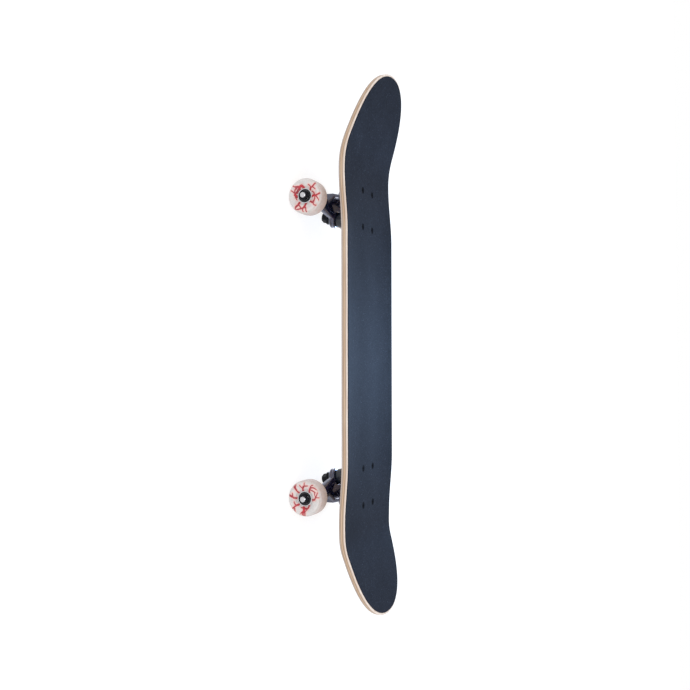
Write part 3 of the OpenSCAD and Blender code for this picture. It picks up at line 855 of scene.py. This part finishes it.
def truckPaintMaterial():
    # cast aluminium under gloss black paint, with violet and navy clouds painted in as reflection, painted flake
    # glints, blue-tinted gloss, and the soft waviness of a sprayed coat over a casting
    mat, tree, shader = newMaterial("glossBlackTruckPaint", IOR=1.6, Coat_Weight=1.0, Coat_IOR=1.7)
    shader.inputs["Coat Roughness"].default_value = 0.06
    # the blue specular and coat tints give the reflections a painted blue cast
    shader.inputs["Specular Tint"].default_value = colour("#c9d2ee")
    shader.inputs["Coat Tint"].default_value = colour("#e2e6ff")
    at = objectPoint(tree)
    # the dark is the paint's own colour; the violet and navy clouds are a painted reflection
    paintAndReflectionClouds = [(0.3, "#111520"), (0.45, "#1b2236"), (0.56, "#2d2639"), (0.7, "#151823")]
    base = addRamp(tree, addNoise(tree, at, 70, 3), paintAndReflectionClouds)
    # painted glints: a few tiny flake cells coloured pale violet, as if catching the light
    flakeGlintCells = addNode(tree, "ShaderNodeTexVoronoi", {"Vector": at, "Scale": 2600}).outputs["Color"]
    glint = addRamp(tree, flakeGlintCells, [(0.9, "#000000"), (0.97, "#4b3f63")])
    feed(tree, shader, "Base Color", addMix(tree, 0.5, base, glint, "ADD"))
    wave = addNoise(tree, at, 160, 2)
    feedRange(tree, shader, "Roughness", wave, 0.16, 0.34)
    feedBump(tree, shader, wave, 0.35, 0.5 * mm, ("Normal", "Coat Normal"))
    return mat


def blackSteelMaterial():
    # black oxide on steel: oily blue-black, rubbed a little thinner in patches
    mat, tree, shader = newMaterial("blackOxideSteel", Metallic=0.75)
    patch = addNoise(tree, objectPoint(tree), 300, 5, Roughness=0.6)
    base = addRamp(tree, patch, [(0.35, "#0d0e13"), (0.6, "#161920"), (0.78, "#2c2f36")])
    feed(tree, shader, "Base Color", base)
    feedRange(tree, shader, "Roughness", patch, 0.24, 0.5)
    return mat


def softMaterial(name, dark, pale, rough, grain, coat=0.0, ior=1.5):
    # moulded rubber, urethane or nylon, or a matt phosphate coat: even colour with faint mottling
    # and a fine matt skin
    mat, tree, shader = newMaterial(name, IOR=ior, Coat_Weight=coat)
    mottle = addNoise(tree, objectPoint(tree), grain, 4)
    feed(tree, shader, "Base Color", addRamp(tree, mottle, [(0.3, dark), (0.7, pale)]))
    feedRange(tree, shader, "Roughness", mottle, 0.85 * rough, 1.15 * rough)
    feedBump(tree, shader, mottle, 0.1, 0.08 * mm)
    return mat


# trucks, drawn in millimetres with the origin on the deck's underside in the middle of the
# bolt pattern and X outwards

truckSet = dict(
    ring=(-9.7, 0, -41.3), lean=12, pivot=25, axle=(10.2, -50.3),    # mm and degrees; axle is (x, z)
    grain=0.5, softenPasses=5,                                       # of the two castings
    boltX=26.99, boltY=20.64,
    boardWasherAt=16.5, roadWasherAt=-9.7, washerT=1.6, washerBore=4.85,
    boardWasherR=12.6, roadWasherR=9.8, bushingBore=4.9, boardBushingAt=2.2, roadBushingTop=-2.2,
    kingpinR=4.75, kingpinLow=-20.3, kingpinTop=32.5, kingpinThread=(-20, -6), kingpinPitch=1.27,
    headFlats=14.3, nutHeight=7, nutCollar=1.4, nutBore=4.78,
)
hangerSet = dict(
    ringR=13.8, ringHalf=4.2, seatDepth=2, seatR=10.6, boreR=7.2, axleHoleR=4.0,
    barrelR=9.8, barrelEndR=8.2, halfWidth=69.5, wingY=38,
    back=(21, -36), skirt=(20.3, -46), lug=(19.5, -29), backR=4,    # rods of the back, (x, z)
    bushingRoom=14.4, nutRoom=(10.6, 17),
)
plateSet = dict(
    thick=5.5, halfL=40.5, halfW=28.5, middleX=1.5, corner=9, over=0.6,
    padR=7.8, holeR=2.6, nutSeatR=6.4, kingpinHoleR=4.8, pocketAt=32, pocketR=8.35, cupR=7.43, cupEnd=48.7,
    rib=[(-6, 0.6), (42, 0.6), (41, -14), (37, -20), (23, -21), (13, -18), (0, -19)], ribHalf=13,
)
ringAt = Matrix.Translation(truckSet["ring"])
kingpinWay = ringAt @ Matrix.Rotation(math.radians(-truckSet["lean"]), 4, "Y")
pivotWay = ringAt @ Matrix.Rotation(math.radians(90 - truckSet["pivot"]), 4, "Y")
flipZ = Matrix.Rotation(math.pi, 4, "X")


def rodWay(x, z):
    # along the board's Y
    return Matrix.Translation((x, 0, z)) @ Matrix.Rotation(math.radians(-90), 4, "X")


axleWay = rodWay(*truckSet["axle"])


def kingpinAt(up):
    return kingpinWay @ Matrix.Translation((0, 0, up))


def boltWays():
    # the four corners of the bolt pattern
    x, y = truckSet["boltX"], truckSet["boltY"]
    return [Matrix.Translation((sx * x, sy * y, 0)) for sx in (1, -1) for sy in (1, -1)]


def cast(name, shapes):
    return castTogether(joined(name, shapes), truckSet["grain"], truckSet["softenPasses"])


def hangerShape():
    s = hangerSet
    w, y, e = s["halfWidth"], s["wingY"], s["barrelEndR"]
    barrel = turned("barrel", [
        (0, -w), (e - 0.8, -w), (e, -w + 0.8), (e, -w + 6), (s["barrelR"], -y), (s["barrelR"], y),
        (e, w - 6), (e, w - 0.8), (e - 0.8, w), (0, w),
    ], axleWay, 80)
    r, h = s["ringR"], s["ringHalf"]
    ring = turned("ring", [    # two rounded flanges with a shallow groove between them
        (0, -h), (r - 1.8, -h), (r - 0.5, -h + 0.5), (r, -h + 1.6), (r - 0.2, -1.5), (r - 1.3, -0.8),
        (r - 1.3, 0.8), (r - 0.2, 1.5), (r, h - 1.6), (r - 0.5, h - 0.5), (r - 1.8, h), (0, h),
    ], kingpinWay, 96)
    body = hullAround("body", [
        rims(kingpinWay, 9, -h + 1, h - 1), rims(axleWay, 9.2, -16, 16), rims(pivotWay, 8.4, 15, 19),
    ])
    wings = [
        hullAround("wing", [
            rims(kingpinWay @ Matrix.Translation((1, side * 9, 0)), 4.2, -3, 3),
            rims(axleWay, 8.6, side * y - 4, side * y + 4), rims(axleWay, 9, side * 14, side * 14 + 2),
        ]) for side in (1, -1)
    ]
    backAt, skirtAt, lugAt, b = rodWay(*s["back"]), rodWay(*s["skirt"]), rodWay(*s["lug"]), s["backR"]
    back = [hullAround("back", [
        rims(axleWay, 8.8, -30, 30), rims(backAt, b, -24, 24), rims(skirtAt, b, -27, 27),
    ])]
    for side in (1, -1):    # lugs beside the pivot housing
        back.append(hullAround("lug", [
            rims(backAt, b, side * 19 - 5, side * 19 + 5), rims(lugAt, b, side * 18 - 4, side * 18 + 4),
        ]))
    neck = turned("neck", [
        (0, 12), (8, 12), (5.3, 31), (5.1, 33), (5.1, 44), (4.4, 45.6), (2.6, 46.5), (0, 46.5),
    ], pivotWay, 64)
    hanger = cast("hangerCast", [barrel, ring, body, *wings, *back, neck])
    cutAway(hanger, drum(kingpinWay, s["boreR"], -30, 30))
    cutAway(hanger, drum(kingpinWay, s["seatR"], h - s["seatDepth"], h + 3))
    cutAway(hanger, drum(kingpinWay, s["seatR"], -h - 3, -h + s["seatDepth"]))
    cutAway(hanger, drum(kingpinWay, s["bushingRoom"], h, h + 20, 96))
    roomX, roomY = s["nutRoom"]
    cutAway(hanger, block(kingpinWay, (-30, -roomY, -h - 30), (roomX, roomY, -h)))
    cutAway(hanger, drum(axleWay, s["axleHoleR"], -w - 1, w + 1))
    return hanger


def baseplateShape():
    s = plateSet
    l, w, c, t = s["halfL"], s["halfW"], s["corner"], s["thick"]
    plate = hullAround("plate", [
        rims(Matrix.Translation((s["middleX"] + sx * (l - c), sy * (w - c), 0)), c, -t, s["over"])
        for sx in (1, -1) for sy in (1, -1)
    ])
    boss = turned("boss", [(0, 18.1), (12.2, 18.1), (13.2, 19.1), (14.2, 48), (0, 48)], kingpinWay, 80)
    housing = turned("housing", [
        (0, 35), (9.6, 35), (10.2, 35.8), (10.6, 48.2), (9.8, 49), (0, 49),
    ], pivotWay, 80)
    outline, n = s["rib"], len(s["rib"])
    corners = [(x, y, z) for y in (s["ribHalf"], -s["ribHalf"]) for x, z in outline]
    rib = newObject("rib", corners, [(i, (i + 1) % n, (i + 1) % n + n, i + n) for i in range(n)])
    work = bmesh.new()
    work.from_mesh(rib.data)
    bmesh.ops.holes_fill(work, edges=work.edges)
    bmesh.ops.recalc_face_normals(work, faces=work.faces)
    work.to_mesh(rib.data)
    work.free()
    r = s["padR"]
    padProfile = [(0, -t - 0.5), (r - 0.6, -t - 0.5), (r, -t + 0.3), (r, -1), (0, -1)]
    pads = [turned("pad", padProfile, way, 48) for way in boltWays()]
    plate = cast("plateCast", [plate, boss, housing, rib, *pads])
    for way in boltWays():
        cutAway(plate, drum(way, s["holeR"], -12, 4, 40))
        cutAway(plate, drum(way, s["nutSeatR"], -12, -t, 48))
    cutAway(plate, block(Matrix(), (-60, -60, 0), (60, 60, 60)))
    cutAway(plate, drum(kingpinWay, s["kingpinHoleR"], 10, 60))
    low, r = s["pocketAt"], s["pocketR"]
    cutAway(plate, turned("hexPocket", [(0, low), (r, low), (r, 60), (0, 60)], kingpinWay, 6))
    cutAway(plate, drum(pivotWay, s["cupR"], 27, s["cupEnd"]))
    return plate


def kingpinHead():
    # the kingpin's hexagon head, hidden in the baseplate
    turn = np.linspace(0, 2 * np.pi, 96, endpoint=False)[None]
    hexagon = truckSet["headFlats"] / 2 / np.cos(np.mod(turn, np.pi / 3) - np.pi / 6)
    h = np.array([32, 32, 32.3, 32.8, 37.2, 37.7, 38, 38.0])[:, None]
    cone = np.array([0, 6.9, 7.5, 8.4, 8.4, 7.5, 6.9, 0])[:, None]
    r = np.minimum(hexagon, cone)
    grid = np.stack([r * np.cos(turn), r * np.sin(turn), h + 0 * turn], -1)
    return closeUp(gridObject("head", grid, wrapCols=True))


def mountBolt():
    # countersunk head with a cross recess, and a threaded shank
    s = boltSet
    threads = [(s["low"] + 0.18, s["threadTo"])]
    rod = threadedRod("bolt", s["shankR"], s["low"], s["high"], threads, s["pitch"], 0.4, 40)
    r, top = s["headR"], s["headTop"]
    head = turned("head", [
        (0, 7.9), (2.4, 7.7), (r - 0.08, top - 0.55), (r, top - 0.4), (r, top - 0.2),
        (r - 0.15, top - 0.03), (0, top),
    ], Matrix(), 64)
    for turnBy in (0, 90):
        arm = Matrix.Rotation(math.radians(turnBy), 4, "Z")
        tool = hullAround("arm", [put(np.array([
            (2.5, 0.6, 11), (2.5, -0.6, 11), (-2.5, 0.6, 11), (-2.5, -0.6, 11),
            (1.3, 0.4, 9.0), (1.3, -0.4, 9.0), (-1.3, 0.4, 9.0), (-1.3, -0.4, 9.0),
        ], float), arm)])
        cutAway(head, tool)
    return joined("bolt", [rod, head])


def cupWasher(name, r, way):
    # a flat disc with a short upright wall
    bore, t = truckSet["washerBore"], truckSet["washerT"]
    return turned(name, [
        (bore, 0.2), (bore + 0.2, 0), (r - 0.6, 0), (r - 0.15, 0.2), (r, 0.7), (r, t + 0.7), (r - 0.3, t + 1),
        (r - 0.7, t + 1), (r - 1, t + 0.7), (r - 1, t + 0.1), (r - 1.3, t), (bore, t),
    ], way, 96, closed=True)


def makeTrucks(materials):
    s, b = truckSet, boltSet
    roadAt = kingpinAt(s["roadWasherAt"] - s["washerT"])
    boardAt = kingpinAt(s["boardWasherAt"] + s["washerT"]) @ flipZ
    bolt = mountBolt()
    boltNut = lockNut("boltNut", b["nutFlats"], b["nutHeight"], b["nutCollar"], b["nutBore"])
    down = Matrix.Translation((0, 0, -plateSet["thick"])) @ flipZ
    bolts = [placed(bolt, "bolt", way) for way in boltWays()]
    boltNuts = [placed(boltNut, "nut", way @ down) for way in boltWays()]
    low, top, threads = s["kingpinLow"], s["kingpinTop"], [s["kingpinThread"]]
    shaft = threadedRod("shaft", s["kingpinR"], low, top, threads, s["kingpinPitch"], 0.6, 64)
    kingpin = joined("kingpin", [shaft, kingpinHead()])
    kingpin.data.transform(kingpinWay)
    bore = s["bushingBore"]
    roadBushing = turned("roadBushing", [
        (bore, 0), (7.9, 0), (8.4, 0.5), (9.1, 1.9), (9.7, 3.6), (10, 5.4), (10, 7.1), (9.6, 7.5),
        (bore, 7.5),
    ], kingpinAt(s["roadWasherAt"]), 96, closed=True)
    boardBushing = turned("boardBushing", [
        (bore, 0), (10, 0), (10.2, 0.3), (10.2, 2.6), (10.6, 3.2), (11.1, 4.6), (11.38, 6.4), (11.4, 9),
        (11.3, 12.4), (11.0, 13.6), (10.6, 14.3), (bore, 14.3),
    ], kingpinAt(s["boardBushingAt"]), 96, closed=True)
    cup = turned("cup", [
        (0, 48.7), (6.9, 48.7), (7.4, 48.2), (7.4, 35.2), (7.2, 35), (5.3, 35), (5.2, 35.2), (5.2, 45.6),
        (4.6, 46.4), (0, 46.5),
    ], pivotWay, 72)
    nut = lockNut("kingpinNut", s["headFlats"], s["nutHeight"], s["nutCollar"], s["nutBore"])
    nut.data.transform(roadAt @ flipZ)
    parts = [
        # part, label, node, finish
        (hangerShape(), "Hanger", "hanger", "truck_paint"),
        (baseplateShape(), "Baseplate", "baseplate", "truck_paint"),
        (kingpin, "Kingpin", "kingpin", "black_steel"),
        (nut, "KingpinNut", "kingpin_nut", "black_steel"),
        (cupWasher("roadWasher", s["roadWasherR"], roadAt), "RoadWasher", "road_washer", "black_steel"),
        (cupWasher("boardWasher", s["boardWasherR"], boardAt), "BoardWasher", "board_washer", "black_steel"),
        (roadBushing, "RoadBushing", "road_bushing", "bushing_urethane"),
        (boardBushing, "BoardBushing", "board_bushing", "bushing_urethane"),
        (cup, "PivotCup", "pivot_cup", "bushing_urethane"),
        (joined("bolts", bolts), "MountBolts", "mount_bolts", "bolt_phosphate"),
        (joined("nuts", boltNuts), "MountNuts", "mount_nuts", "black_steel"),
    ]
    for spare in (bolt, boltNut):
        bpy.data.objects.remove(spare)
    for end in ends:
        low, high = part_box(f"{end}_mount_bolts")
        toBoard = Matrix.Translation(((low.x + high.x) / 2, 0, underZ)) @ Matrix.Scale(mm, 4)
        if end == "rear":
            toBoard = toBoard @ Matrix.Rotation(math.pi, 4, "Z")
        hanger = f"{end}_hanger"
        bends = {
            "road_bushing": (s["roadWasherAt"], s["roadBushingTop"]),
            "board_bushing": (s["boardWasherAt"], s["boardBushingAt"]),
        }
        for part, label, node, finish in parts:
            obj = placed(part, end + label, toBoard)
            body = "deck"
            if node == "hanger":
                body = hanger
            if node in bends:    # a bushing's points at its washer and at its ring are worked out, but finishPiece, given no single body, only bakes it in place unattached
                start, stop = ((toBoard @ kingpinAt(up)).translation for up in bends[node])
                body = ("deck", hanger, start, stop)
            finishPiece(obj, materials[finish], body, [f"{end}_{node}"])
    for part, *_ in parts:
        bpy.data.objects.remove(part)
    print("trucks made")


materials = {
    "truck_paint": truckPaintMaterial(),
    "black_steel": blackSteelMaterial(),
    "bolt_phosphate": softMaterial("blackPhosphatedSteel", "#050609", "#0d0f14", 0.75, 500, ior=1.1),
    "bright_steel": drawnMetal("turnedBrightSteel", "#c4c4c7", 0.24, (300, 9000, 300)),
    "bearing_steel": drawnMetal("groundBearingSteel", "#d2d2d6", 0.13, (400, 6000, 400), tone=0.15),
    "spacer_aluminium": drawnMetal("turnedAluminium", "#d0d0d2", 0.3, (300, 8000, 300)),
    "bushing_urethane": softMaterial("blackBushingUrethane", "#070c15", "#101b2b", 0.36, 240, 0.1),
    "shield_rubber": softMaterial("mouldedSealRubber", "#0d0e11", "#18191d", 0.38, 500),
    "cage_nylon": softMaterial("mouldedCageNylon", "#cfc7b2", "#e3dccb", 0.45, 700),
}

makeFloor()
makeLights()
makeCamera()
makeDeck()
makeWheels(materials)
makeTrucks(materials)

bpy.context.scene.view_settings.view_transform = "Standard"
